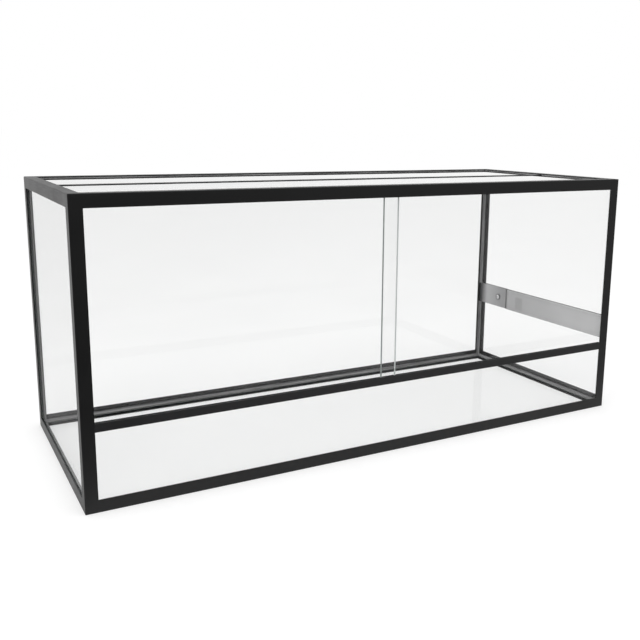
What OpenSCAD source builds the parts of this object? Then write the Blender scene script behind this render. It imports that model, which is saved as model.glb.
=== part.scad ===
// Glass terrarium with a black edge frame, two sliding glass doors in front and a vent in its right side.
// Millimetres. +X is to the right, +Y to the back and +Z up.
// The origin is the middle of the outline, on the surface that the frame stands on.

/* [Overall] */
// Outer width, over the frame
width = 1000; // [700:10:1400]
// Outer depth, over the frame
depth = 400; // [320:10:600]
// Outer height, over the frame
height = 450; // [380:10:700]

/* [Frame profile] */
// Wall of the black angle profile
frame_wall = 2; // [1.5:0.5:3]
// Height of the rails' standing legs, and width of the front posts' faces
rail_leg = 19; // [17:0.5:26]
// Width of the top rails' lying legs, and of the posts' legs on the sides
flange_leg = 17.5; // [15:0.5:24]
// Width of the bottom rails' lying legs, and of the rear posts' legs behind the back pane
short_leg = 11; // [8:0.5:20]
// Rounding of the profile's outer edges
edge_round = 1.5; // [0.5:0.25:1.5]
// Height of the lower edge of the front middle rail
mid_rail_bottom = 119; // [80:1:160]
// Height of the front middle rail's face
mid_rail_height = 13.5; // [12:0.5:22]

/* [Glass] */
// Thickness of the walls and of the top
glass = 4; // [4:0.5:6]
// Thickness of the bottom pane
base_glass = 5; // [4:0.5:8]
// Thickness of the sliding doors
door_glass = 4; // [3:0.5:4.5]
// Ground bevel along the edges of every pane
arris = 0.4; // [0.2:0.1:0.8]

/* [Top] */
// Thickness of the silicone bed between the top rails and the top panes
top_bed = 1; // [0.5:0.25:2]
// Width of the middle bar's flanges
bar_width = 12; // [8:1:24]
// Thickness of the middle bar's flanges
bar_flange = 1; // [0.5:0.25:2]
// Thickness of the middle bar's web, between the two top panes
bar_web = 2; // [1:0.5:4]
// Distance of the middle bar's centre from the front of the terrarium
bar_from_front = 200; // [120:5:240]

/* [Door tracks] */
// Walls of the double-groove tracks
track_wall = 1.5; // [1:0.25:2]
// Base of the double-groove tracks
track_base = 1.5; // [1:0.25:3]
// Width of each groove
groove_width = 5; // [5:0.25:6]
// Depth of the lower grooves, which carry the doors
lower_groove = 4.5; // [3.5:0.5:7]
// How far the lower track's walls end under the top edge of the middle rail
rail_rise = 3.5; // [0:0.5:5]
// Height of the lower track's foot, glued behind the low front pane
track_foot = 5; // [3:0.5:12]
// How far the upper track hangs out under the top rail
track_drop = 1; // [0:0.5:3]

/* [Doors] */
// How far the two closed doors overlap
door_overlap = 32; // [15:1:60]
// Place of the middle of that overlap, right of the terrarium's centre
door_meet = 0; // [-20:1:20]
// Running clearance under the doors and at their closed ends
door_clearance = 0.3; // [0.2:0.1:0.5]
// How far a closed door can be lifted into the upper groove
door_lift = 8; // [7.5:0.5:9.5]

/* [Vent] */
// Height of the lower edge of the vent strip
vent_bottom = 140; // [135:1:200]
// Height of the vent strip's face
vent_height = 44.5; // [35:0.5:70]
// How far the strip covers each of the two panes
vent_cover = 6; // [4:0.5:8]
// Thickness of the vent strip
vent_sheet = 1; // [0.8:0.1:2]
// Width of the perforation's six-sided holes, over their corners
hole_size = 3; // [2:0.25:4]
// Distance between neighbouring holes
hole_pitch = 6; // [5.5:0.25:10]
// Solid margin round the perforation
hole_margin = 2; // [1:0.5:5]
// Width of the silicone line along the vent strip
vent_seam = 1; // [0.5:0.25:3]

/* [Cable outlet cover] */
// Length of the plate at the rear end of the vent
plate_length = 94; // [85:1:120]
// Thickness of the plate, and of the one outside
plate_wall = 1.5; // [1:0.25:2]
// Rounding of the plates' corners
plate_round = 2; // [1:0.5:4]
// Distance of the screw from the back pane
screw_from_back = 66; // [40:1:75]
// Diameter of the screw's shank
screw_size = 4; // [3:0.5:5]
// Diameter of the screw's head
screw_head = 9.5; // [8:0.5:11]
// Height of the screw's head
screw_head_height = 2.6; // [2:0.2:3.4]
// Diameter of the washer under the screw's head
washer_size = 14; // [12:0.5:18]
// Thickness of that washer
washer_height = 1.2; // [0.8:0.1:1.6]
// Clearance round the screw's shank
screw_clearance = 0.05; // [0.05:0.05:0.2]

/* [Silicone] */
// Leg of the silicone beads in the inner corners
bead_leg = 5; // [4:0.5:9]
// Thickness of a bead at its edges
bead_lip = 0.6; // [0.4:0.1:1]

/* [Hidden] */

$fn = 48;

FRAME_COLOUR = [0.08, 0.08, 0.085];
TRACK_COLOUR = [0.10, 0.10, 0.10];
GLASS_COLOUR = [0.80, 0.88, 0.87, 0.35];
DOOR_COLOUR = [0.72, 0.86, 0.84, 0.4];
SILICONE_COLOUR = [0.16, 0.16, 0.17];
SEAM_COLOUR = [0.55, 0.56, 0.56];
VENT_COLOUR = [0.68, 0.69, 0.70];
SCREW_COLOUR = [0.78, 0.78, 0.80];

// Space that is left where two pieces end close to each other
end_gap = 0.3;

// The glass box inside the frame: outer faces, then inner faces
glass_x = width / 2 - frame_wall;
glass_y = depth / 2 - frame_wall;
room_x = glass_x - glass;
room_y = glass_y - glass;
floor_bottom = frame_wall;
floor_top = floor_bottom + base_glass;
roof_top = height - frame_wall - top_bed;
roof_bottom = roof_top - glass;

// The door tracks: three walls and two grooves, right behind the frame's front
track_front = -glass_y;
track_depth = 3 * track_wall + 2 * groove_width;
track_back = track_front + track_depth;
groove_step = track_wall + groove_width;
lower_track_top = mid_rail_bottom + mid_rail_height - rail_rise;
lower_groove_floor = lower_track_top - lower_groove;
lower_track_bottom = lower_groove_floor - track_base;
upper_track_bottom = height - rail_leg - track_drop;
upper_groove_ceiling = roof_bottom - track_base;

// The doors. At the right they end in front of the vent strip.
door_bottom = lower_groove_floor + door_clearance;
door_top = upper_groove_ceiling - door_lift;
door_height = door_top - door_bottom;
door_play = (groove_width - door_glass) / 2;
outer_door_y = track_front + track_wall + door_play;
inner_door_y = outer_door_y + groove_step;
door_left_end = -room_x + door_clearance;
door_right_end = room_x - vent_sheet - door_clearance;
left_door_edge = door_meet + door_overlap / 2;
right_door_edge = door_meet - door_overlap / 2;

// The middle bar of the top
bar_y = bar_from_front - depth / 2;

// The vent
vent_top = vent_bottom + vent_height;
vent_gap_bottom = vent_bottom + vent_cover;
vent_gap_top = vent_top - vent_cover;
vent_middle = (vent_bottom + vent_top) / 2;
vent_front = track_front;
plate_front = room_y - plate_length;
vent_length = plate_front - vent_front;
row_pitch = hole_pitch * sqrt(3) / 2;
screw_y = room_y - screw_from_back;
screw_face = room_x - plate_wall - washer_height;
clamp_rear = depth / 2 - flange_leg - end_gap;
boss_size = 2 * screw_size;
boss_face = room_x + glass / 3;

// ---- Outlines and profiles ----

// A rectangle with round corners, from the origin
module rounded_rectangle(size, radius) {
    translate([radius, 0])
        square([size.x - 2 * radius, size.y]);
    translate([0, radius])
        square([size.x, size.y - 2 * radius]);
    for (x = [radius, size.x - radius], y = [radius, size.y - radius])
        translate([x, y])
            circle(r = radius);
}

// An angle profile with its outer corner, rounded, at the origin
module angle_profile(leg_x, leg_y) {
    translate([edge_round, 0])
        square([leg_x - edge_round, frame_wall]);
    translate([0, edge_round])
        square([frame_wall, leg_y - edge_round]);
    intersection() {
        square(edge_round);
        translate([edge_round, edge_round])
            circle(r = edge_round);
    }
}

// The strip of plan that a piece keeps when its ends are cut at 45 degrees, or square where the cut is 0
module mitred_strip(length, strip, start_cut, end_cut) {
    polygon([
        [0, 0],
        [length, 0],
        [length - end_cut * strip, strip],
        [start_cut * strip, strip]
    ]);
}

// Turns a profile's x and y to the object's y and z, and sweeps it along +X
module sweep_x(length) {
    rotate([90, 0, 90])
        linear_extrude(length)
            children();
}

// Swaps the X and Y axes of what is drawn along +X, so that it runs along +Y
module along_y() {
    mirror([1, -1, 0])
        children();
}

// Swaps the X and Z axes of what is drawn along +X, so that it runs along +Z
module along_z() {
    mirror([1, 0, -1])
        children();
}

// ---- Edge frame ----

// A bottom rail along +X: its outer face is at y = 0, it stands on z = 0, and both ends are mitred
module rail(length, lying_leg) {
    intersection() {
        sweep_x(length)
            angle_profile(lying_leg, rail_leg);
        linear_extrude(rail_leg)
            intersection() {
                mitred_strip(length, lying_leg, 1, 1);
                rounded_rectangle([length, 2 * lying_leg], edge_round);
            }
    }
}

module front_rail(lying_leg) {
    translate([-width / 2, -depth / 2, 0])
        rail(width, lying_leg);
}

module left_rail(lying_leg) {
    translate([-width / 2, -depth / 2, 0])
        along_y()
            rail(depth, lying_leg);
}

// Lifts a bottom rail, turned over, to the top
module at_top() {
    translate([0, 0, height])
        mirror([0, 0, 1])
            children();
}

module bottom_front_rail() {
    color(FRAME_COLOUR)
        front_rail(short_leg);
}

module bottom_rear_rail() {
    color(FRAME_COLOUR)
        mirror([0, 1, 0])
            front_rail(short_leg);
}

module bottom_left_rail() {
    color(FRAME_COLOUR)
        left_rail(short_leg);
}

module bottom_right_rail() {
    color(FRAME_COLOUR)
        mirror([1, 0, 0])
            left_rail(short_leg);
}

module top_front_rail() {
    color(FRAME_COLOUR)
        at_top()
            front_rail(flange_leg);
}

module top_rear_rail() {
    color(FRAME_COLOUR)
        at_top()
            mirror([0, 1, 0])
                front_rail(flange_leg);
}

module top_left_rail() {
    color(FRAME_COLOUR)
        at_top()
            left_rail(flange_leg);
}

module top_right_rail() {
    color(FRAME_COLOUR)
        at_top()
            mirror([1, 0, 0])
                left_rail(flange_leg);
}

// The front left post, between the standing legs of the rails
module post(face_leg) {
    translate([-width / 2, -depth / 2, rail_leg])
        linear_extrude(height - 2 * rail_leg)
            angle_profile(face_leg, flange_leg);
}

module front_left_post() {
    color(FRAME_COLOUR)
        post(rail_leg);
}

module front_right_post() {
    color(FRAME_COLOUR)
        mirror([1, 0, 0])
            post(rail_leg);
}

module rear_left_post() {
    color(FRAME_COLOUR)
        mirror([0, 1, 0])
            post(short_leg);
}

module rear_right_post() {
    color(FRAME_COLOUR)
        mirror([1, 0, 0])
            mirror([0, 1, 0])
                post(short_leg);
}

// A flat bar with rounded front edges, between the front posts, over the pane's top edge and the track's face
module front_mid_rail() {
    rail_x = width / 2 - rail_leg;
    color(FRAME_COLOUR)
        translate([-rail_x, -depth / 2, mid_rail_bottom])
            sweep_x(2 * rail_x)
                intersection() {
                    square([frame_wall, mid_rail_height]);
                    rounded_rectangle([frame_wall + 2 * edge_round, mid_rail_height], edge_round);
                }
}

// An H profile that joins the two top panes. Its web runs on over the side panes' top edges.
module top_middle_bar() {
    upper_x = width / 2 - flange_leg;
    lower_x = room_x - bead_leg - end_gap;
    color(FRAME_COLOUR) {
        translate([-glass_x, bar_y - bar_web / 2, roof_bottom])
            cube([2 * glass_x, bar_web, glass]);
        translate([-upper_x, bar_y - bar_width / 2, roof_top])
            sweep_x(2 * upper_x)
                intersection() {
                    square([bar_width, bar_flange]);
                    translate([0, -bar_flange])
                        rounded_rectangle([bar_width, 2 * bar_flange], bar_flange / 2);
                }
        translate([-lower_x, bar_y - bar_width / 2, roof_bottom - bar_flange])
            cube([2 * lower_x, bar_width, bar_flange]);
    }
}

// ---- Glass ----

// The outline of a pane's section, with its two edges bevelled
module bevelled_rectangle(size) {
    polygon([
        [arris, 0], [size.x - arris, 0], [size.x, arris], [size.x, size.y - arris],
        [size.x - arris, size.y], [arris, size.y], [0, size.y - arris], [0, arris]
    ]);
}

// A pane between two corners, with every edge ground
module pane(low, high) {
    size = high - low;
    translate(low)
        intersection() {
            linear_extrude(size.z)
                bevelled_rectangle([size.x, size.y]);
            sweep_x(size.x)
                bevelled_rectangle([size.y, size.z]);
            translate([0, size.y, 0])
                rotate([90, 0, 0])
                    linear_extrude(size.y)
                        bevelled_rectangle([size.x, size.z]);
        }
}

module bottom_pane() {
    color(GLASS_COLOUR)
        pane([-glass_x, -glass_y, floor_bottom], [glass_x, glass_y, floor_top]);
}

module back_pane() {
    color(GLASS_COLOUR)
        pane([-glass_x, room_y, floor_top], [glass_x, glass_y, roof_bottom]);
}

module left_pane() {
    color(GLASS_COLOUR)
        pane([-glass_x, -glass_y, floor_top], [-room_x, room_y, roof_bottom]);
}

module right_lower_pane() {
    color(GLASS_COLOUR)
        pane([room_x, -glass_y, floor_top], [glass_x, room_y, vent_gap_bottom]);
}

module right_upper_pane() {
    color(GLASS_COLOUR)
        pane([room_x, -glass_y, vent_gap_top], [glass_x, room_y, roof_bottom]);
}

module front_lower_pane() {
    color(GLASS_COLOUR)
        pane([-room_x, -glass_y, floor_top], [room_x, -room_y, lower_track_bottom]);
}

module top_front_pane() {
    color(GLASS_COLOUR)
        pane([-glass_x, -glass_y, roof_bottom], [glass_x, bar_y - bar_web / 2, roof_top]);
}

module top_rear_pane() {
    color(GLASS_COLOUR)
        pane([-glass_x, bar_y + bar_web / 2, roof_bottom], [glass_x, glass_y, roof_top]);
}

// ---- Door tracks and doors ----

// Three walls with round tips on a base, which is at y = 0
module double_groove(total_height) {
    square([track_depth, track_base]);
    for (i = [0:2])
        translate([i * groove_step, 0]) {
            square([track_wall, total_height - track_wall / 2]);
            translate([track_wall / 2, total_height - track_wall / 2])
                circle(d = track_wall);
        }
}

// The lower track lies on the low front pane, and its foot is glued to that pane's back
module lower_door_track() {
    color(TRACK_COLOUR)
        translate([-room_x, track_front, lower_track_bottom])
            sweep_x(2 * room_x) {
                double_groove(lower_track_top - lower_track_bottom);
                translate([glass, -track_foot])
                    square([track_wall, track_foot + track_base]);
            }
}

// The upper track hangs under the front top pane, with its mouth down
module upper_door_track() {
    color(TRACK_COLOUR)
        translate([-room_x, track_front, roof_bottom])
            mirror([0, 0, 1])
                sweep_x(2 * room_x)
                    double_groove(roof_bottom - upper_track_bottom);
}

module left_door() {
    color(DOOR_COLOUR)
        pane(
            [door_left_end, inner_door_y, door_bottom],
            [left_door_edge, inner_door_y + door_glass, door_top]
        );
}

module right_door() {
    color(DOOR_COLOUR)
        pane(
            [right_door_edge, outer_door_y, door_bottom],
            [door_right_end, outer_door_y + door_glass, door_top]
        );
}

// ---- Vent in the right side ----

// A perforated strip on the inner faces of the two right panes, over the gap between them
module vent_strip() {
    solid = 2 * hole_margin + hole_size;
    rows = floor((vent_height - solid) / row_pitch);
    columns = floor((vent_length - solid) / hole_pitch - 1 / 2);
    color(VENT_COLOUR)
        translate([room_x - vent_sheet, vent_front, vent_bottom])
            sweep_x(vent_sheet)
                difference() {
                    square([vent_length, vent_height]);
                    translate([vent_length / 2, vent_height / 2])
                        for (row = [0:rows], column = [0:columns])
                            translate([
                                (column - columns / 2 + (row % 2) / 2 - 1 / 4) * hole_pitch,
                                (row - rows / 2) * row_pitch
                            ])
                                circle(d = hole_size, $fn = 6);
                }
}

// A thin line of silicone in the step between the strip's edge and the pane
module vent_seam_line() {
    translate([room_x, vent_front, 0])
        mirror([1, 0, 0])
            along_y()
                sweep_x(vent_length)
                    polygon([[0, 0], [vent_sheet, 0], [0, vent_seam]]);
}

module vent_upper_seam() {
    color(SEAM_COLOUR)
        translate([0, 0, vent_top])
            vent_seam_line();
}

module vent_lower_seam() {
    color(SEAM_COLOUR)
        translate([0, 0, vent_bottom])
            mirror([0, 0, 1])
                vent_seam_line();
}

// A hole or shank for the screw, along X
module screw_shank(diameter, from_x, to_x) {
    translate([from_x, screw_y, vent_middle])
        rotate([0, 90, 0])
            cylinder(d = diameter, h = to_x - from_x);
}

// The plate inside the room, over the rear end of the gap
module outlet_cover() {
    color(VENT_COLOUR)
        difference() {
            translate([room_x - plate_wall, plate_front, vent_bottom])
                sweep_x(plate_wall)
                    rounded_rectangle([plate_length, vent_height], plate_round);
            screw_shank(screw_size + 2 * screw_clearance, room_x - 2 * plate_wall, room_x + plate_wall);
        }
}

// The plate outside, with a boss that takes the screw's end in the gap between the panes
module outlet_clamp_plate() {
    color(VENT_COLOUR)
        difference() {
            union() {
                translate([glass_x, plate_front, vent_bottom])
                    sweep_x(plate_wall)
                        rounded_rectangle([clamp_rear - plate_front, vent_height], plate_round);
                screw_shank(boss_size, boss_face, glass_x + plate_wall);
            }
            screw_shank(screw_size + 2 * screw_clearance, boss_face - plate_wall, glass_x);
        }
}

module outlet_washer() {
    color(SCREW_COLOUR)
        difference() {
            screw_shank(washer_size, screw_face, room_x - plate_wall);
            screw_shank(screw_size + 2 * screw_clearance, screw_face - washer_height, room_x);
        }
}

// A cross-head screw with a domed head, through the washer and the cover into the boss
module outlet_screw() {
    dome = (pow(screw_head / 2, 2) + pow(screw_head_height, 2)) / (2 * screw_head_height);
    recess = [screw_head_height * 0.9, screw_head / 8, screw_head * 0.55];
    color(SCREW_COLOUR)
        difference() {
            union() {
                screw_shank(screw_size, screw_face - screw_head_height / 2, glass_x - end_gap);
                translate([screw_face, screw_y, vent_middle])
                    rotate([0, -90, 0])
                        rotate_extrude()
                            intersection() {
                                square([screw_head / 2, screw_head_height]);
                                translate([0, screw_head_height - dome])
                                    circle(r = dome);
                            }
            }
            for (turn = [0, 90])
                translate([screw_face - screw_head_height, screw_y, vent_middle])
                    rotate([turn, 0, 0])
                        cube(recess, center = true);
        }
}

// ---- Silicone ----

// A hollow fillet in the corner of the walls y = 0 and z = 0, along +X, with its ends mitred where the cut is 1
module bead(length, start_cut, end_cut) {
    intersection() {
        sweep_x(length)
            difference() {
                square(bead_leg);
                translate([bead_leg, bead_leg])
                    circle(r = bead_leg - bead_lip);
            }
        linear_extrude(bead_leg)
            mitred_strip(length, bead_leg, start_cut, end_cut);
        translate([0, bead_leg, 0])
            rotate([90, 0, 0])
                linear_extrude(bead_leg)
                    mitred_strip(length, bead_leg, start_cut, end_cut);
    }
}

module bottom_front_bead() {
    color(SILICONE_COLOUR)
        translate([-room_x, -room_y, floor_top])
            bead(2 * room_x, 1, 1);
}

module bottom_rear_bead() {
    color(SILICONE_COLOUR)
        translate([-room_x, room_y, floor_top])
            mirror([0, 1, 0])
                bead(2 * room_x, 1, 1);
}

module bottom_left_bead() {
    color(SILICONE_COLOUR)
        translate([-room_x, -room_y, floor_top])
            along_y()
                bead(2 * room_y, 1, 1);
}

module bottom_right_bead() {
    color(SILICONE_COLOUR)
        translate([room_x, -room_y, floor_top])
            mirror([1, 0, 0])
                along_y()
                    bead(2 * room_y, 1, 1);
}

// An upright bead in the left corner of the low front pane, up to the track's foot
module front_left_bead() {
    color(SILICONE_COLOUR)
        translate([-room_x, -room_y, floor_top])
            along_z()
                bead(lower_track_bottom - track_foot - floor_top, 1, 0);
}

module front_right_bead() {
    color(SILICONE_COLOUR)
        translate([room_x, -room_y, floor_top])
            mirror([1, 0, 0])
                along_z()
                    bead(lower_track_bottom - track_foot - floor_top, 1, 0);
}

module rear_left_bead() {
    color(SILICONE_COLOUR)
        translate([-room_x, room_y, floor_top])
            mirror([0, 1, 0])
                along_z()
                    bead(roof_bottom - floor_top, 1, 1);
}

// The bead in the rear right corner stops under the vent, and goes on above it
module rear_right_lower_bead() {
    color(SILICONE_COLOUR)
        translate([room_x, room_y, floor_top])
            mirror([1, 0, 0])
                mirror([0, 1, 0])
                    along_z()
                        bead(vent_bottom - floor_top, 1, 0);
}

module rear_right_upper_bead() {
    color(SILICONE_COLOUR)
        translate([room_x, room_y, vent_top])
            mirror([1, 0, 0])
                mirror([0, 1, 0])
                    along_z()
                        bead(roof_bottom - vent_top, 0, 1);
}

module top_rear_bead() {
    color(SILICONE_COLOUR)
        translate([-room_x, room_y, roof_bottom])
            mirror([0, 0, 1])
                mirror([0, 1, 0])
                    bead(2 * room_x, 1, 1);
}

// A bead under the top panes, from the upper track to the back pane
module top_left_bead() {
    color(SILICONE_COLOUR)
        translate([-room_x, track_back, roof_bottom])
            mirror([0, 0, 1])
                along_y()
                    bead(room_y - track_back, 0, 1);
}

module top_right_bead() {
    color(SILICONE_COLOUR)
        translate([room_x, track_back, roof_bottom])
            mirror([0, 0, 1])
                mirror([1, 0, 0])
                    along_y()
                        bead(room_y - track_back, 0, 1);
}

// The bed under the lying leg of the top front rail, over the pane's whole width
module front_bed() {
    translate([-glass_x, -glass_y, roof_top])
        cube([2 * glass_x, flange_leg - frame_wall, top_bed]);
}

// The bed under the lying leg of the top left rail, between the front and rear ones
module left_bed() {
    bed_y = depth / 2 - flange_leg;
    translate([-glass_x, -bed_y, roof_top])
        cube([flange_leg - frame_wall, 2 * bed_y, top_bed]);
}

module top_front_bed() {
    color(SILICONE_COLOUR)
        front_bed();
}

module top_rear_bed() {
    color(SILICONE_COLOUR)
        mirror([0, 1, 0])
            front_bed();
}

module top_left_bed() {
    color(SILICONE_COLOUR)
        left_bed();
}

module top_right_bed() {
    color(SILICONE_COLOUR)
        mirror([1, 0, 0])
            left_bed();
}

bottom_front_rail();
bottom_rear_rail();
bottom_left_rail();
bottom_right_rail();
top_front_rail();
top_rear_rail();
top_left_rail();
top_right_rail();
front_left_post();
front_right_post();
rear_left_post();
rear_right_post();
front_mid_rail();
top_middle_bar();
bottom_pane();
back_pane();
left_pane();
right_lower_pane();
right_upper_pane();
front_lower_pane();
top_front_pane();
top_rear_pane();
lower_door_track();
upper_door_track();
left_door();
right_door();
vent_strip();
vent_upper_seam();
vent_lower_seam();
outlet_cover();
outlet_clamp_plate();
outlet_washer();
outlet_screw();
bottom_front_bead();
bottom_rear_bead();
bottom_left_bead();
bottom_right_bead();
front_left_bead();
front_right_bead();
rear_left_bead();
rear_right_lower_bead();
rear_right_upper_bead();
top_rear_bead();
top_left_bead();
top_right_bead();
top_front_bed();
top_rear_bed();
top_left_bed();
top_right_bed();
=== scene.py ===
"""A glass terrarium in a black edge frame, built up in the order in which it is put together."""

import math

import bmesh
import bpy
from mathutils import Matrix, Vector


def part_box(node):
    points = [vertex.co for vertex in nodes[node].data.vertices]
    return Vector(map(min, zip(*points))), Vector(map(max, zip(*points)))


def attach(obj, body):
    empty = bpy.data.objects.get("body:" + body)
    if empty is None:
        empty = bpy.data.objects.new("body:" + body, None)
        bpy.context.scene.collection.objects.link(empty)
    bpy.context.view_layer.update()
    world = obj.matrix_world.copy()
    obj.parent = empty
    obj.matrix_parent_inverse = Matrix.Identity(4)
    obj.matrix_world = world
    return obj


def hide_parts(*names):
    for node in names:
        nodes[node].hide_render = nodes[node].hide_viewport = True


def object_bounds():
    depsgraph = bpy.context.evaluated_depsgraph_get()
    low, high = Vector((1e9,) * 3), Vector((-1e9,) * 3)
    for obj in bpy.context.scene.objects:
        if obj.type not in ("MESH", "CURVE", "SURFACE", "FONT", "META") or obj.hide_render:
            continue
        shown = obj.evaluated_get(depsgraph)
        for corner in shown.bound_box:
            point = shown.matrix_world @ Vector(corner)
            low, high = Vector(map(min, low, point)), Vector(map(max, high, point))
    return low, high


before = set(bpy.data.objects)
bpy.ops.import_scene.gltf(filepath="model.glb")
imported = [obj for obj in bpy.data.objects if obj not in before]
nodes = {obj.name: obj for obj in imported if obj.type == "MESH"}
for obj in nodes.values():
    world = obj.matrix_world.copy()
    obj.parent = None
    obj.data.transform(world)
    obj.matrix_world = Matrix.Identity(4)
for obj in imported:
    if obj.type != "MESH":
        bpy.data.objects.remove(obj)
cad_low, cad_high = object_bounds()
MM = 0.001


# ---- Edge frame -------------------------------------------------------------------------------------------
# Eight mitred rails and four posts of black coated angle profile, glued over every edge of the glass box.
# The drawn profile leaves faint streaks along its length, and the coat is satin with a fine grain.

FRAME_TONES = (0.0045, 0.008)  # share of light that the coat gives back, in its darker and lighter patches
COAT_BLUE = 1.05  # blue of the coat, as a share of its red and green
COAT_INDEX = 1.45
COAT_RELIEF = (0.35, 0.03 * MM)  # strength and depth of the bumps
STREAK_ROUGHNESS = (0.40, 0.50)
PATCH_ROUGHNESS = (-0.03, 0.05)  # added to that of the streaks
STREAKS_PER_METRE = 1400
GRAIN_PER_METRE = 2600
PATCHES_PER_METRE = 14
STREAK_STRETCH = 0.015
MITRE_HALF_WIDTH = 0.12 * MM
MITRE_DEPTH = 3.0  # as a share of the relief's depth
MITRE_ROUGHNESS = 0.4  # added in the mitre's line


def new_material(name):
    """A material with an empty node tree."""
    material = bpy.data.materials.new(name)
    material.use_nodes = True
    material.node_tree.nodes.clear()
    return material


def put(tree, kind, inputs=None, **settings):
    """One node; each input is a value or the output socket that feeds it."""
    node = tree.nodes.new(kind)
    for key, value in settings.items():
        setattr(node, key, value)
    for key, value in (inputs or {}).items():
        if isinstance(value, bpy.types.NodeSocket):
            tree.links.new(value, node.inputs[key])
        else:
            node.inputs[key].default_value = value
    return node


def maths(tree, operation, a, b=None, c=None, clamp=False):
    """The result of one Math node."""
    values = {i: v for i, v in enumerate((a, b, c)) if v is not None}
    return put(tree, "ShaderNodeMath", values, operation=operation, use_clamp=clamp).outputs[0]


def here(tree):
    """The place of the shaded point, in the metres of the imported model."""
    return put(tree, "ShaderNodeTexCoord").outputs["Object"]


def axes_here(tree):
    """The same place as separate X, Y and Z."""
    return put(tree, "ShaderNodeSeparateXYZ", {"Vector": here(tree)}).outputs


def drawn_out(along, share):
    """The scale that draws a pattern out along one axis."""
    return [share if axis == along else 1.0 for axis in "XYZ"]


def noise(tree, per_metre, stretch=(1, 1, 1), detail=3.0, offset=(0, 0, 0)):
    """Noise with so many lumps to a metre."""
    place = put(tree, "ShaderNodeMapping", {"Vector": here(tree), "Location": offset, "Scale": stretch})
    inputs = {"Vector": place.outputs[0], "Scale": per_metre, "Detail": detail}
    return put(tree, "ShaderNodeTexNoise", inputs).outputs["Fac"]


def between(tree, factor, low, high, at=(0.3, 0.7)):
    """Maps a value that runs over the range at, such as noise, to another range."""
    inputs = {"Value": factor, "From Min": at[0], "From Max": at[1], "To Min": low, "To Max": high}
    return put(tree, "ShaderNodeMapRange", inputs).outputs["Result"]


def blend_colours(tree, factor, a, b):
    """A colour between two, each a tuple or the output socket that gives it."""
    inputs = {"Factor": factor}
    for key, colour in (("A", a), ("B", b)):
        inputs[key] = colour if isinstance(colour, bpy.types.NodeSocket) else (*colour, 1)
    return put(tree, "ShaderNodeMix", inputs, data_type="RGBA").outputs["Result"]


def finish_with(tree, shader):
    """Leads a shader to the material's output."""
    put(tree, "ShaderNodeOutputMaterial", {"Surface": shader})


def bumps(tree, height, relief):
    """The direction of a surface with bumps of the relief's strength and depth."""
    strength, depth = relief
    inputs = {"Strength": strength, "Distance": depth, "Height": height}
    return put(tree, "ShaderNodeBump", inputs).outputs[0]


def finish_solid(tree, colour, roughness, normal, more=None):
    """Leads an opaque surface to the output."""
    inputs = {"Base Color": colour, "Roughness": roughness, "Normal": normal, **(more or {})}
    finish_with(tree, put(tree, "ShaderNodeBsdfPrincipled", inputs).outputs[0])


def black_coat(name, along, tones, mitred=False):
    """Satin black coat over a profile that runs along one axis, and the fine lines of its mitres."""
    material = new_material(name)
    tree = material.node_tree
    streaks = noise(tree, STREAKS_PER_METRE, drawn_out(along, STREAK_STRETCH), detail=2.0)
    grain = noise(tree, GRAIN_PER_METRE, detail=2.0)
    patches = noise(tree, PATCHES_PER_METRE, detail=4.0, offset=(3, 1, 2))
    dark, light = ((tone, tone, tone * COAT_BLUE) for tone in tones)
    colour = blend_colours(tree, patches, dark, light)
    roughness = between(tree, streaks, *STREAK_ROUGHNESS)
    roughness = maths(tree, "ADD", roughness, between(tree, patches, *PATCH_ROUGHNESS))
    height = maths(tree, "MULTIPLY", maths(tree, "ADD", streaks, grain), 0.5)
    if mitred:
        # A mitre runs in at 45 degrees from each outer corner: X and Y are equally far inside the frame there
        x, y = (maths(tree, "ABSOLUTE", axes_here(tree)[axis]) for axis in "XY")
        off_mitre = maths(tree, "SUBTRACT", maths(tree, "SUBTRACT", x, y), cad_high.x - cad_high.y)
        line = maths(tree, "LESS_THAN", maths(tree, "ABSOLUTE", off_mitre), MITRE_HALF_WIDTH)
        height = maths(tree, "SUBTRACT", height, maths(tree, "MULTIPLY", line, MITRE_DEPTH))
        more = maths(tree, "MULTIPLY", line, MITRE_ROUGHNESS)
        roughness = maths(tree, "ADD", roughness, more, clamp=True)
    finish_solid(tree, colour, roughness, bumps(tree, height, COAT_RELIEF), {"IOR": COAT_INDEX})
    return material


def dress(node, material):
    """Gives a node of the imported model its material."""
    mesh = nodes[node].data
    mesh.materials.clear()
    mesh.materials.append(material)


rail_x = black_coat("coat_rails_long", "X", FRAME_TONES, mitred=True)
rail_y = black_coat("coat_rails_deep", "Y", FRAME_TONES, mitred=True)
post_z = black_coat("coat_posts", "Z", FRAME_TONES)
for level in ("bottom", "top"):
    dress(f"{level}_front_rail", rail_x)
    dress(f"{level}_rear_rail", rail_x)
    dress(f"{level}_left_rail", rail_y)
    dress(f"{level}_right_rail", rail_y)
for corner in ("front_left", "front_right", "rear_left", "rear_right"):
    dress(f"{corner}_post", post_z)


# ---- Middle rail and top bar ------------------------------------------------------------------------------
# A flat black bar between the front posts hides the top edge of the low pane and the lower door track.
# A slim H profile joins the two top panes across the middle of the lid.

BAR_TONES = (0.0125, 0.0175)

bar_x = black_coat("coat_bars", "X", BAR_TONES)
dress("front_mid_rail", bar_x)
dress("top_middle_bar", bar_x)


# ---- Glass panes ------------------------------------------------------------------------------------------
# Float glass, cut to size with ground and lightly bevelled edges, which look grey-green and matt.
# Eight panes are glued into the box, with a thin film of silicone in each joint.

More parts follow.
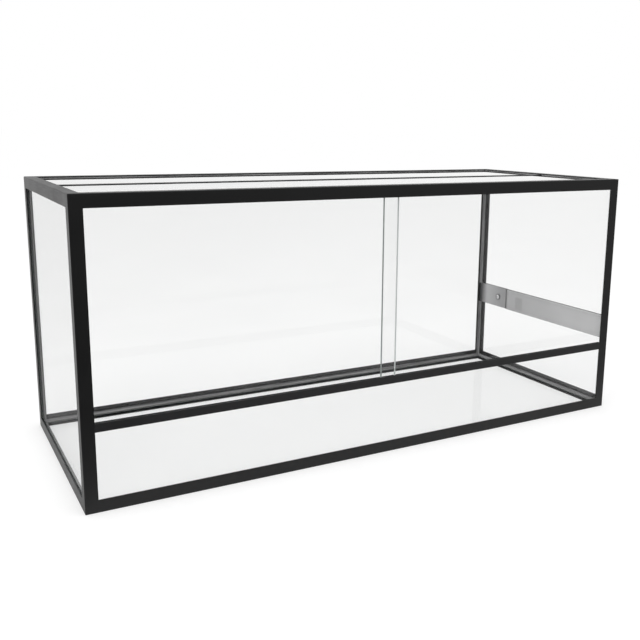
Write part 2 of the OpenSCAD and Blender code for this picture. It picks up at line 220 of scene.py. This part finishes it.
ARRIS = 0.45 * MM  # bevel of a ground edge
FILM = 0.15 * MM  # silicone between the edge of a pane and what it stands on
SKIN = 0.05 * MM  # distance of a sheet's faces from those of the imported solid
FLAT = 0.999  # cosine of the angle within which a face is the pane's front or back, and not a bevel
GLASS_INDEX = 1.52
GLASS_WAVES_PER_METRE = 5
GLASS_RELIEF = (0.25, 0.2 * MM)
SMEARS_PER_METRE = 22
SMEAR_ROUGHNESS = 0.03
GRINDING_PER_METRE = 900
GROUND_ROUGHNESS = (0.3, 0.5)
GROUND_RELIEF = (0.3, 0.04 * MM)


def blend_shaders(tree, factor, a, b):
    """A shader between two."""
    return put(tree, "ShaderNodeMixShader", {0: factor, 1: a, 2: b}).outputs[0]


def clear_glass(name, tint, shine=0.5, most=0.03):
    """Clear float glass: what is behind it, under a mirror layer that grows towards a flat view.

    Each face lets through the share tint of the light. The mirror layer is shine times that of bare glass,
    and never more than most.
    """
    material = new_material(name)
    tree = material.node_tree
    waves = noise(tree, GLASS_WAVES_PER_METRE, detail=1.0)
    normal = bumps(tree, waves, GLASS_RELIEF)
    smears = noise(tree, SMEARS_PER_METRE, stretch=(1, 1, 1.6), detail=4.0)
    roughness = between(tree, smears, 0.0, SMEAR_ROUGHNESS, at=(0.5, 0.8))

    # A ray that leaves the glass meets its face from inside, where the index is turned over
    inside = put(tree, "ShaderNodeNewGeometry").outputs["Backfacing"]
    index = maths(tree, "MULTIPLY_ADD", inside, 1 / GLASS_INDEX - GLASS_INDEX, GLASS_INDEX)
    mirror = put(tree, "ShaderNodeFresnel", {"IOR": index, "Normal": normal}).outputs[0]
    amount = maths(tree, "MINIMUM", maths(tree, "MULTIPLY", mirror, shine), most)
    through = put(tree, "ShaderNodeBsdfTransparent", {"Color": (*tint, 1)})
    gloss = put(tree, "ShaderNodeBsdfAnisotropic", {
        "Color": (1, 1, 1, 1), "Roughness": roughness, "Normal": normal})
    finish_with(tree, blend_shaders(tree, amount, through.outputs[0], gloss.outputs[0]))
    return material


def ground_edge(name, dark, light, glow):
    """The matt grey-green of a ground glass edge, with the fine lines of the wheel.

    Seen from inside the pane the edge has the lighter tone glow, from the light that is led along the glass.
    """
    material = new_material(name)
    tree = material.node_tree
    lines = noise(tree, GRINDING_PER_METRE, drawn_out("Z", share=0.2))
    colour = blend_colours(tree, between(tree, lines, 0, 1), dark, light)
    inside = put(tree, "ShaderNodeNewGeometry").outputs["Backfacing"]
    colour = blend_colours(tree, inside, colour, glow)
    roughness = between(tree, lines, *GROUND_ROUGHNESS)
    finish_solid(tree, colour, roughness, bumps(tree, lines, GROUND_RELIEF))
    return material


def make_pane(node, materials, body):
    """A pane in the place of its node: bright faces, and bevelled edges in a material of their own."""
    low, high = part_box(node)
    size = high - low
    thin = min(range(3), key=lambda axis: size[axis])
    trim = Vector([SKIN if axis == thin else FILM for axis in range(3)])
    low, high = low + trim, high - trim
    mesh = bmesh.new()
    bmesh.ops.create_cube(mesh, size=1.0)
    bmesh.ops.transform(mesh, matrix=Matrix.Diagonal((*(high - low), 1)), verts=mesh.verts)
    bmesh.ops.translate(mesh, vec=(low + high) / 2, verts=mesh.verts)
    bmesh.ops.bevel(mesh, geom=mesh.edges[:], offset=ARRIS, segments=2, profile=0.6, affect="EDGES")
    for face in mesh.faces:
        face.material_index = 0 if abs(face.normal[thin]) > FLAT else 1
    data = bpy.data.meshes.new(node + "_glass")
    mesh.to_mesh(data)
    mesh.free()
    for material in materials:
        data.materials.append(material)
    pane = bpy.data.objects.new(node + "_glass", data)
    bpy.context.scene.collection.objects.link(pane)
    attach(pane, body)
    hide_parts(node)


wall_glass = clear_glass("wall_glass", tint=(0.9635, 0.9645, 0.964))
side_glass = clear_glass("side_glass", tint=(0.9495, 0.9505, 0.95))
lid_glass = clear_glass("lid_glass", tint=(0.9855, 0.9865, 0.986), shine=1.25, most=0.97)
base_glass = clear_glass("base_glass", tint=(0.9675, 0.9685, 0.968))
front_glass = clear_glass("front_glass", tint=(0.994, 0.995, 0.9945), shine=0.4)
wall_edge = ground_edge("ground_edge", dark=(0.10, 0.13, 0.12), light=(0.18, 0.22, 0.205),
                        glow=(0.3, 0.34, 0.325))
panes = {"bottom": base_glass, "back": wall_glass, "left": side_glass, "right_lower": wall_glass,
         "right_upper": wall_glass, "front_lower": front_glass, "top_front": lid_glass, "top_rear": lid_glass}
for name, glass in panes.items():
    make_pane(name + "_pane", (glass, wall_edge), "tank")


# ---- Door tracks ------------------------------------------------------------------------------------------
# Extruded black plastic with two grooves. The lower one sits on the low front pane and its foot is glued
# behind it, and the upper one hangs under the front top pane behind the rail.

TRACK_TONES = ((0.010, 0.010, 0.010), (0.018, 0.018, 0.018))
TRACK_ROUGHNESS = (0.45, 0.55)
TRACK_RELIEF = (0.25, 0.02 * MM)
TRACK_INDEX = 1.45
DRAWN_LINES_PER_METRE = 1800
DUST_PER_METRE = 60


def track_plastic(name):
    """Smooth black plastic with drawn lines along it, a little paler than the coat."""
    material = new_material(name)
    tree = material.node_tree
    drawn = noise(tree, DRAWN_LINES_PER_METRE, drawn_out("X", share=0.01), detail=2.0)
    dust = noise(tree, DUST_PER_METRE, drawn_out("X", share=0.3), detail=5.0)
    colour = blend_colours(tree, between(tree, dust, 0, 1), *TRACK_TONES)
    roughness = between(tree, drawn, *TRACK_ROUGHNESS)
    finish_solid(tree, colour, roughness, bumps(tree, drawn, TRACK_RELIEF), {"IOR": TRACK_INDEX})
    return material


groove_black = track_plastic("track_plastic")
dress("lower_door_track", groove_black)
dress("upper_door_track", groove_black)


# ---- Sliding doors ----------------------------------------------------------------------------------------
# Two loose panes of the same glass. The right one runs in the outer groove and the left one in the inner,
# so that a strip of double glass shows near the middle, between their two ground edges.

door_edge = ground_edge("door_edge", dark=(0.20, 0.225, 0.215), light=(0.32, 0.35, 0.34),
                        glow=(0.74, 0.77, 0.76))
make_pane("left_door", (front_glass, door_edge), "left_door")
make_pane("right_door", (front_glass, door_edge), "right_door")


# ---- Silicone ---------------------------------------------------------------------------------------------
# Glossy black beads, drawn along the inner corners and smoothed with a round tool, which leaves slow waves.
# Flat beds of the same silicone lie under the top rails.

# The beads are painted grey, not black, and lighter along fine lines that follow each bead: painted
# highlights
SILICONE_AND_HIGHLIGHT_TONES = ((0.10, 0.10, 0.101), (0.31, 0.31, 0.313))
SILICONE_ROUGHNESS = (0.22, 0.32)
SILICONE_RELIEF = (0.5, 0.25 * MM)
TOOL_AND_HIGHLIGHT_LINES_PER_METRE = 620
RIPPLES_PER_METRE = 55
PORES_PER_METRE = 700
TOOL_LINE_HEIGHT = 0.25  # as a share of the ripples' height
PORE_HEIGHT = 0.012
HIGHLIGHT_LINE_TONE, RIPPLE_TONE = 0.85, 0.15  # shares in the change of tone towards the lighter, painted highlight tone


def black_silicone(name, along):
    """Glossy black rubber with slow ripples, and the fine lines that the tool drew along it. The rubber is
    painted grey and the lines lighter still, as painted highlights.
    """
    material = new_material(name)
    tree = material.node_tree
    drawn = noise(tree, TOOL_AND_HIGHLIGHT_LINES_PER_METRE, drawn_out(along, share=0.012), detail=1.5)
    ripples = noise(tree, RIPPLES_PER_METRE, detail=2.0)
    pores = noise(tree, PORES_PER_METRE, detail=2.0)
    height = maths(tree, "ADD", ripples, maths(tree, "MULTIPLY", pores, PORE_HEIGHT))
    height = maths(tree, "ADD", height, maths(tree, "MULTIPLY", drawn, TOOL_LINE_HEIGHT))
    # The tool's lines are painted lighter, as painted highlights, and the ripples a little lighter
    lines = between(tree, drawn, 0.0, HIGHLIGHT_LINE_TONE, at=(0.42, 0.66))
    tone = maths(tree, "ADD", lines, between(tree, ripples, 0.0, RIPPLE_TONE))
    colour = blend_colours(tree, tone, *SILICONE_AND_HIGHLIGHT_TONES)
    roughness = between(tree, pores, *SILICONE_ROUGHNESS)
    finish_solid(tree, colour, roughness, bumps(tree, height, SILICONE_RELIEF))
    return material


silicone = [black_silicone("black_silicone_" + along.lower(), along) for along in "XYZ"]
for node in nodes:
    if node.endswith(("_bead", "_bed")):
        low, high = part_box(node)
        reach = high - low
        longest = max(range(3), key=lambda axis: reach[axis])
        dress(node, silicone[longest])


# ---- Side vent --------------------------------------------------------------------------------------------
# A strip of finely perforated aluminium sheet, glued on the inner faces of the right panes over the gap
# between them. The holes are punched in staggered rows, and the margins stay solid.

VENT_PITCH = 2.5 * MM
VENT_HOLE = 1.4 * MM
VENT_MARGIN = 0.5 * MM  # least distance of the outermost cells from the edge of the sheet
HOLE_CLEARANCE = VENT_PITCH * 0.33  # from the solid margins to the middles of the first whole holes
WELD = 0.01 * MM
SHEET_METAL = 0.85  # how metallic the bare sheet is
SHEET_ROUGHNESS = (0.36, 0.5)
CLOUD_ROUGHNESS = (-0.04, 0.04)  # added to that of the grain
SHEET_RELIEF = (0.2, 0.02 * MM)
ROLLED_GRAIN_PER_METRE = 2200
CLOUDS_PER_METRE = 18
SHADED_CLOUD_SHARE = 0.25  # share of the clouds in the tone of a sheet that is also painted lighter along its length, as painted shading
SHADE_AND_SOIL_SHARE = 0.2  # what is left of the metal's darker tone where painted shade and dirt are laid on
JOINT_LINE = 0.62  # how dark the joint of the strip and the plate is painted: painted shade in the gap, and dirt
JOINT_OFFSET = 0.4 * MM
JOINT_HALF_WIDTH = 1.7 * MM
JOINT_SOFT = 0.5 * MM
# A patch on the strip, painted darker
DARK_PATCH = 0.2
DARK_PATCH_Y, DARK_PATCH_Z = 57 * MM, 159 * MM
DARK_PATCH_HALF_LENGTH, DARK_PATCH_HALF_HEIGHT = 9 * MM, 11 * MM
DARK_PATCH_SOFT = 5 * MM


def satin_aluminium(name, along, dark, light, shading_span=None, shade_and_soil=None):
    """Bare rolled aluminium with a fine grain along the sheet and a dull, slightly cloudy face.

    fade is where, along Y, the tone starts and ends to lighten: painted shading. soil is the function that
    adds the nodes for how much painted shade and dirt each place has.
    """
    material = new_material(name)
    tree = material.node_tree
    grain = noise(tree, ROLLED_GRAIN_PER_METRE, drawn_out(along, share=0.02))
    clouds = noise(tree, CLOUDS_PER_METRE, detail=4.0, offset=(1, 4, 2))
    tone = between(tree, clouds, 0, 1 if shading_span is None else SHADED_CLOUD_SHARE)
    # Painted shading: the tone is painted lighter along Y over the given span
    if shading_span is not None:
        painted_lighter = between(tree, axes_here(tree)["Y"], 0.0, 1 - SHADED_CLOUD_SHARE, at=shading_span)
        tone = maths(tree, "ADD", tone, painted_lighter)
    colour = blend_colours(tree, tone, dark, light)
    # Painted shade and dirt darken the metal where the given mask is high
    if shade_and_soil is not None:
        colour = blend_colours(tree, shade_and_soil(tree), colour, [share * SHADE_AND_SOIL_SHARE for share in dark])
    roughness = between(tree, grain, *SHEET_ROUGHNESS)
    roughness = maths(tree, "ADD", roughness, between(tree, clouds, *CLOUD_ROUGHNESS))
    finish_solid(tree, colour, roughness, bumps(tree, grain, SHEET_RELIEF), {"Metallic": SHEET_METAL})
    return material


def perforated_sheet(material):
    """A node tree that punches staggered round holes in a sheet in the plane of Y and Z."""
    tree = bpy.data.node_groups.new("perforated_sheet", "GeometryNodeTree")
    face = tree.interface
    face.new_socket("Geometry", in_out="OUTPUT", socket_type="NodeSocketGeometry")
    for name in ("Pitch", "Hole Diameter", "Thickness"):
        face.new_socket(name, in_out="INPUT", socket_type="NodeSocketFloat")
    for name in ("Columns", "Rows"):
        face.new_socket(name, in_out="INPUT", socket_type="NodeSocketInt")
    face.new_socket("First Hole", in_out="INPUT", socket_type="NodeSocketVector")
    given = put(tree, "NodeGroupInput").outputs

    # One six-sided cell with a round hole: the hole's rim is drawn out to the cell's outline, which lies half
    # a pitch away where it faces the middle squarely
    radius = maths(tree, "MULTIPLY", given["Hole Diameter"], 0.5)
    rim = put(tree, "GeometryNodeMeshCircle", {"Vertices": 12, "Radius": radius})
    drawn = put(tree, "GeometryNodeExtrudeMesh", {"Mesh": rim.outputs[0], "Offset Scale": 0.0}, mode="EDGES")
    point = put(tree, "GeometryNodeInputPosition").outputs[0]
    way = put(tree, "ShaderNodeVectorMath", {0: point}, operation="NORMALIZE").outputs[0]
    facing = None
    for turn in (0, 60, 120):
        side = (math.cos(math.radians(turn)), math.sin(math.radians(turn)), 0)
        dot = put(tree, "ShaderNodeVectorMath", {0: way, 1: side}, operation="DOT_PRODUCT").outputs["Value"]
        dot = maths(tree, "ABSOLUTE", dot)
        facing = dot if facing is None else maths(tree, "MAXIMUM", facing, dot)
    reach = maths(tree, "DIVIDE", maths(tree, "MULTIPLY", given["Pitch"], 0.5), facing)
    outline = put(tree, "ShaderNodeVectorMath", {0: way, "Scale": reach}, operation="SCALE").outputs[0]
    cell = put(tree, "GeometryNodeSetPosition", {
        "Geometry": drawn.outputs["Mesh"], "Selection": drawn.outputs["Top"], "Position": outline})

    # The cells in staggered rows: the column and row come from each point's number
    count = maths(tree, "MULTIPLY", given["Columns"], given["Rows"])
    points = put(tree, "GeometryNodeMeshLine", {"Count": count, "Offset": (0, 0, 0)})
    number = put(tree, "GeometryNodeInputIndex").outputs[0]
    column = maths(tree, "MODULO", number, given["Columns"])
    row = maths(tree, "FLOOR", maths(tree, "DIVIDE", maths(tree, "ADD", number, 0.5), given["Columns"]))
    stagger = maths(tree, "MULTIPLY", maths(tree, "MODULO", row, 2.0), 0.5)
    along = maths(tree, "MULTIPLY", maths(tree, "ADD", column, stagger), given["Pitch"])
    up = maths(tree, "MULTIPLY", maths(tree, "MULTIPLY", row, given["Pitch"]), math.sqrt(3) / 2)
    lattice = put(tree, "ShaderNodeCombineXYZ", {"X": along, "Y": up})
    spread = put(tree, "GeometryNodeSetPosition", {
        "Geometry": points.outputs[0], "Position": lattice.outputs[0]})
    cells = put(tree, "GeometryNodeInstanceOnPoints", {
        "Points": spread.outputs[0], "Instance": cell.outputs[0]})
    flat = put(tree, "GeometryNodeRealizeInstances", {"Geometry": cells.outputs[0]})
    flat = put(tree, "GeometryNodeMergeByDistance", {"Geometry": flat.outputs[0], "Distance": WELD})

    # The sheet gets its thickness, and is stood up in its place
    thick = put(tree, "ShaderNodeCombineXYZ", {"Z": given["Thickness"]})
    raised = put(tree, "GeometryNodeExtrudeMesh", {
        "Mesh": flat.outputs[0], "Offset": thick.outputs[0], "Individual": False}, mode="FACES")
    back = put(tree, "GeometryNodeFlipFaces", {"Mesh": flat.outputs[0]})
    both = put(tree, "GeometryNodeJoinGeometry")
    tree.links.new(raised.outputs["Mesh"], both.inputs[0])
    tree.links.new(back.outputs[0], both.inputs[0])
    solid = put(tree, "GeometryNodeMergeByDistance", {"Geometry": both.outputs[0], "Distance": WELD})
    stood = put(tree, "GeometryNodeTransform", {
        "Geometry": solid.outputs[0], "Rotation": (math.radians(90), 0, math.radians(90))})
    placed = put(tree, "GeometryNodeTransform", {
        "Geometry": stood.outputs[0], "Translation": given["First Hole"]})
    coated = put(tree, "GeometryNodeSetMaterial", {"Geometry": placed.outputs[0], "Material": material})
    put(tree, "NodeGroupOutput", {"Geometry": coated.outputs[0]})
    return tree


def grown(name, tree, values):
    """The plain mesh object that a node tree makes from the given values."""
    seed = bpy.data.objects.new(name + "_seed", bpy.data.meshes.new(name + "_seed"))
    bpy.context.scene.collection.objects.link(seed)
    modifier = seed.modifiers.new(name, "NODES")
    modifier.node_group = tree
    for item in tree.interface.items_tree:
        if item.item_type == "SOCKET" and item.in_out == "INPUT":
            modifier[item.identifier] = values[item.name]
    ready = seed.evaluated_get(bpy.context.evaluated_depsgraph_get())
    mesh = bpy.data.meshes.new_from_object(ready)
    mesh.name = name
    bpy.data.objects.remove(seed)
    made = bpy.data.objects.new(name, mesh)
    bpy.context.scene.collection.objects.link(made)
    return made


def eased(tree, value, at, to=(0.0, 1.0)):
    """Maps a value to a range with soft ends."""
    inputs = {"Value": value, "From Min": at[0], "From Max": at[1], "To Min": to[0], "To Max": to[1]}
    return put(tree, "ShaderNodeMapRange", inputs, interpolation_type="SMOOTHSTEP").outputs["Result"]


def near(tree, axis, centre, half, soft):
    """1 within a distance of a place along one axis, falling to 0 over a soft border."""
    away = maths(tree, "ABSOLUTE", maths(tree, "SUBTRACT", axes_here(tree)[axis], centre))
    return eased(tree, away, at=(half, half + soft), to=(1.0, 0.0))


def joint_shade_and_dirt(tree):
    """Painted shade and dirt in the line where the strip and the plate meet, and a patch on the strip painted
    darker.
    """
    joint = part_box("outlet_cover")[0].y - JOINT_OFFSET
    line = near(tree, "Y", joint, JOINT_HALF_WIDTH, JOINT_SOFT)
    length = near(tree, "Y", DARK_PATCH_Y, DARK_PATCH_HALF_LENGTH, DARK_PATCH_SOFT)
    height = near(tree, "Z", DARK_PATCH_Z, DARK_PATCH_HALF_HEIGHT, DARK_PATCH_SOFT)
    patch = maths(tree, "MULTIPLY", maths(tree, "MULTIPLY", length, height), DARK_PATCH)
    return maths(tree, "MAXIMUM", maths(tree, "MULTIPLY", line, JOINT_LINE), patch)


# The strip is painted lighter towards its front end as shading, and dark at its joint with the plate, with
# painted shade and dirt
sheet_metal = satin_aluminium("rolled_aluminium", "Y", dark=(0.50, 0.50, 0.505), light=(0.70, 0.70, 0.705),
                              shading_span=(0.08, -0.16), shade_and_soil=joint_shade_and_dirt)
seam_grey = satin_aluminium("seam_glue", "Y", dark=(0.05, 0.05, 0.05), light=(0.10, 0.10, 0.10))
dress("vent_upper_seam", seam_grey)
dress("vent_lower_seam", seam_grey)
low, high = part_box("vent_strip")
length, height, gauge = high.y - low.y, high.z - low.z, high.x - low.x
row_step = VENT_PITCH * math.sqrt(3) / 2
rows = int((height - 2 * VENT_MARGIN - VENT_PITCH) / row_step) + 1
columns = int((length - 2 * VENT_MARGIN - VENT_PITCH) / VENT_PITCH - 0.5) + 1
first_y = (low.y + high.y) / 2 - (columns - 0.5) * VENT_PITCH / 2
first_z = (low.z + high.z) / 2 - (rows - 1) * row_step / 2
vent_strip = grown("vent_strip_sheet", perforated_sheet(sheet_metal), {
    "Pitch": VENT_PITCH, "Hole Diameter": VENT_HOLE, "Thickness": gauge - 2 * SKIN,
    "Columns": columns, "Rows": rows, "First Hole": (low.x + SKIN, first_y, first_z)})

# The solid margins lie over the outermost cells, which end in a zigzag, and at the two ends over most of the
# last hole in every other row
border = bmesh.new()
border.from_mesh(vent_strip.data)
side_margin = first_z - low.z - HOLE_CLEARANCE
end_margin = first_y - low.y + VENT_PITCH / 2 - HOLE_CLEARANCE
for (start_y, start_z), (end_y, end_z) in (
        ((low.y, low.z), (high.y, low.z + side_margin)),
        ((low.y, high.z - side_margin), (high.y, high.z)),
        ((low.y, low.z), (low.y + end_margin, high.z)),
        ((high.y - end_margin, low.z), (high.y, high.z))):
    corners = bmesh.ops.create_cube(border, size=1.0)["verts"]
    size = (gauge - SKIN, end_y - start_y, end_z - start_z)
    bmesh.ops.transform(border, matrix=Matrix.Diagonal((*size, 1)), verts=corners)
    centre = ((low.x + high.x) / 2, (start_y + end_y) / 2, (start_z + end_z) / 2)
    bmesh.ops.translate(border, vec=centre, verts=corners)
for face in border.faces:
    face.material_index = 0
border.to_mesh(vent_strip.data)
border.free()
vent_strip.data.materials.clear()
vent_strip.data.materials.append(sheet_metal)
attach(vent_strip, "tank")
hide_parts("vent_strip")


# ---- Cable outlet cover -----------------------------------------------------------------------------------
# A short plate of the same sheet closes the rear end of the gap, where cables are led in. One cross-head
# screw pulls it against a clamp plate on the outside.

REAR_SHADE_START, REAR_SHADE_END = 0.169, 0.188  # along Y, where the plate's rear end is painted dark: painted shade, the shadow and dark reflection of the corner's bead and post
RECESS_HALF_WIDTH = 0.55 * MM
RECESS_HALF_LENGTH = 2.6 * MM
RECESS_SOFT = 0.1 * MM


def cover_shade_and_dirt(tree):
    """Painted shade and dirt in the joint with the strip, and painted shade over the plate's rear end: the
    shadow and dark reflection of the rear corner's bead and post.
    """
    rear_shade = between(tree, axes_here(tree)["Y"], 0.0, 1.0, at=(REAR_SHADE_START, REAR_SHADE_END))
    return maths(tree, "MAXIMUM", joint_shade_and_dirt(tree), rear_shade)


def recess_shade(tree):
    """The cross recess of the screw, painted dark: painted shade in the recess, and dirt that has gathered in
    it.
    """
    low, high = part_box("outlet_screw")
    middle = {"Y": (low.y + high.y) / 2, "Z": (low.z + high.z) / 2}
    arms = []
    for across, along in ("YZ", "ZY"):
        width = near(tree, across, middle[across], RECESS_HALF_WIDTH, RECESS_SOFT)
        length = near(tree, along, middle[along], RECESS_HALF_LENGTH, RECESS_SOFT)
        arms.append(maths(tree, "MULTIPLY", width, length))
    return maths(tree, "MAXIMUM", *arms)


# The plate is painted darker than the strip, lighter towards its rear as shading, and dark over its rear end
# with painted shade
plate_metal = satin_aluminium("plate_aluminium", "Z", dark=(0.33, 0.33, 0.335), light=(0.47, 0.47, 0.475),
                              shading_span=(0.11, 0.16), shade_and_soil=cover_shade_and_dirt)
clamp_metal = satin_aluminium("clamp_aluminium", "Z", dark=(0.38, 0.38, 0.385), light=(0.50, 0.50, 0.505))
screw_steel = satin_aluminium("screw_steel", "Z", dark=(0.78, 0.78, 0.79), light=(0.92, 0.92, 0.93),
                              shade_and_soil=recess_shade)
washer_steel = satin_aluminium("washer_steel", "Z", dark=(0.20, 0.20, 0.205), light=(0.28, 0.28, 0.285))
dress("outlet_cover", plate_metal)
dress("outlet_clamp_plate", clamp_metal)
dress("outlet_washer", washer_steel)
dress("outlet_screw", screw_steel)


# ---- Studio -----------------------------------------------------------------------------------------------
# A pale floor without an end, white all round where the camera looks, a soft key lamp above the front and a
# weaker one far out on the left.

CAMERA_PLACE = (-0.69136, -1.30165, 0.53703)
CAMERA_YAW, CAMERA_TILT, CAMERA_ROLL = -29.6597, 90 - 11.3155, 0.74  # degrees
CAMERA_LENS = 45.5964  # mm, on a sensor 36 mm wide
CAMERA_SHIFT_X, CAMERA_SHIFT_Y = -0.06016, -0.0452
FAR = 200.0
FLOOR_REACH = 60.0
FLOOR_TONES = (0.49, 0.51)
FLOOR_TONES_PER_METRE = 4
FLOOR_LIFT = 0.55  # what the floor adds of its own for rays that show the surroundings
ROOM_TONES = (0.06, 0.40)  # of the dim room, ahead of the tank's left end and off to the right
ROOM_TURN = (0.45, 1.1)  # distance to the right of that end, as a share of the distance ahead
ROOM_START = (-0.1, 0.25)  # distance in front of the doors over which the room sets in
LEAST_AHEAD = 0.01  # keeps that share finite
BACKDROP_TONES = (0.55, 1.0)
BACKDROP_TURN = (-0.4, 0.2)  # Y of the direction of a ray
SOFT_WHITE = 0.9  # strength of the light from all round
LAMP_AIM = Vector((0, 0, 0.2))
CLEAR_FACES = 24  # that a ray may cross

scene = bpy.context.scene
camera_data = bpy.data.cameras.new("camera")
camera_data.sensor_width = 36.0
camera_data.lens = CAMERA_LENS
camera_data.shift_x = CAMERA_SHIFT_X
camera_data.shift_y = CAMERA_SHIFT_Y
camera_data.clip_end = FAR
camera = bpy.data.objects.new("camera", camera_data)
scene.collection.objects.link(camera)
turned = Matrix.Rotation(math.radians(CAMERA_YAW), 4, "Z")
tilted = Matrix.Rotation(math.radians(CAMERA_TILT), 4, "X")
rolled = Matrix.Rotation(math.radians(CAMERA_ROLL), 4, "Z")
camera.matrix_world = Matrix.Translation(CAMERA_PLACE) @ turned @ tilted @ rolled
scene.camera = camera


def seen(tree):
    """1 for rays that show the surroundings themselves, straight or through glass."""
    path = put(tree, "ShaderNodeLightPath").outputs
    return maths(tree, "MAXIMUM", path["Is Camera Ray"], path["Is Transmission Ray"])


def mirrored(tree):
    """1 for rays that show them mirrored."""
    return put(tree, "ShaderNodeLightPath").outputs["Is Glossy Ray"]


def background(tree, strength):
    """White surroundings of the given strength."""
    return put(tree, "ShaderNodeBackground", {"Color": (1, 1, 1, 1), "Strength": strength}).outputs[0]


floor_mesh = bpy.data.meshes.new("floor")
floor_corners = [(x * FLOOR_REACH, y * FLOOR_REACH, 0) for x, y in ((-1, -1), (1, -1), (1, 1), (-1, 1))]
floor_mesh.from_pydata(floor_corners, [], [(0, 1, 2, 3)])
floor = bpy.data.objects.new("floor", floor_mesh)
scene.collection.objects.link(floor)
paper = new_material("floor_paper")
tree = paper.node_tree
fibre = between(tree, noise(tree, FLOOR_TONES_PER_METRE), *FLOOR_TONES)
tone = put(tree, "ShaderNodeCombineColor", {"Red": fibre, "Green": fibre, "Blue": fibre})
diffuse = put(tree, "ShaderNodeBsdfDiffuse", {"Color": tone.outputs[0]})
shown = maths(tree, "MAXIMUM", seen(tree), mirrored(tree))
lift = put(tree, "ShaderNodeEmission", {"Strength": maths(tree, "MULTIPLY", shown, FLOOR_LIFT)})
pale = put(tree, "ShaderNodeAddShader", {0: diffuse.outputs[0], 1: lift.outputs[0]})

# In front of the doors the room is dim, which black coat and glass mirror as a deep tone
place = axes_here(tree)
ahead = maths(tree, "SUBTRACT", cad_low.y, place["Y"])
aside = maths(tree, "SUBTRACT", place["X"], cad_low.x)
aside = maths(tree, "DIVIDE", aside, maths(tree, "MAXIMUM", ahead, LEAST_AHEAD))
room = put(tree, "ShaderNodeEmission", {"Strength": eased(tree, aside, ROOM_TURN, ROOM_TONES)})
in_room = maths(tree, "MULTIPLY", mirrored(tree), eased(tree, ahead, ROOM_START))
finish_with(tree, blend_shaders(tree, in_room, pale.outputs[0], room.outputs[0]))
floor_mesh.materials.append(paper)

world = bpy.data.worlds.new("studio")
world.use_nodes = True
tree = world.node_tree
tree.nodes.clear()
direction = put(tree, "ShaderNodeTexCoord").outputs["Generated"]
way = put(tree, "ShaderNodeSeparateXYZ", {"Vector": direction}).outputs["Y"]
backdrop = background(tree, eased(tree, way, BACKDROP_TURN, BACKDROP_TONES))
sky = blend_shaders(tree, seen(tree), background(tree, SOFT_WHITE), background(tree, 1.0))
sky = blend_shaders(tree, mirrored(tree), sky, backdrop)
put(tree, "ShaderNodeOutputWorld", {"Surface": sky})
scene.world = world


def lamp(name, place, size, watts):
    """A soft rectangular lamp that faces the terrarium; the glass doesn't mirror it."""
    data = bpy.data.lights.new(name, "AREA")
    data.shape = "RECTANGLE"
    data.size, data.size_y = size
    data.energy = watts
    made = bpy.data.objects.new(name, data)
    made.location = place
    made.rotation_mode = "QUATERNION"
    made.rotation_quaternion = (Vector(place) - LAMP_AIM).to_track_quat("Z", "Y")
    made.visible_glossy = False
    scene.collection.objects.link(made)


lamp("key", place=(-0.3, -0.5, 2.7), size=(2.2, 1.2), watts=14)
lamp("fill", place=(-2.4, -1.2, 1.4), size=(1.5, 1.5), watts=5)

# A view through the tank crosses several panes, and each has two clear faces
scene.cycles.transparent_max_bounces = CLEAR_FACES
scene.view_settings.view_transform = "Standard"
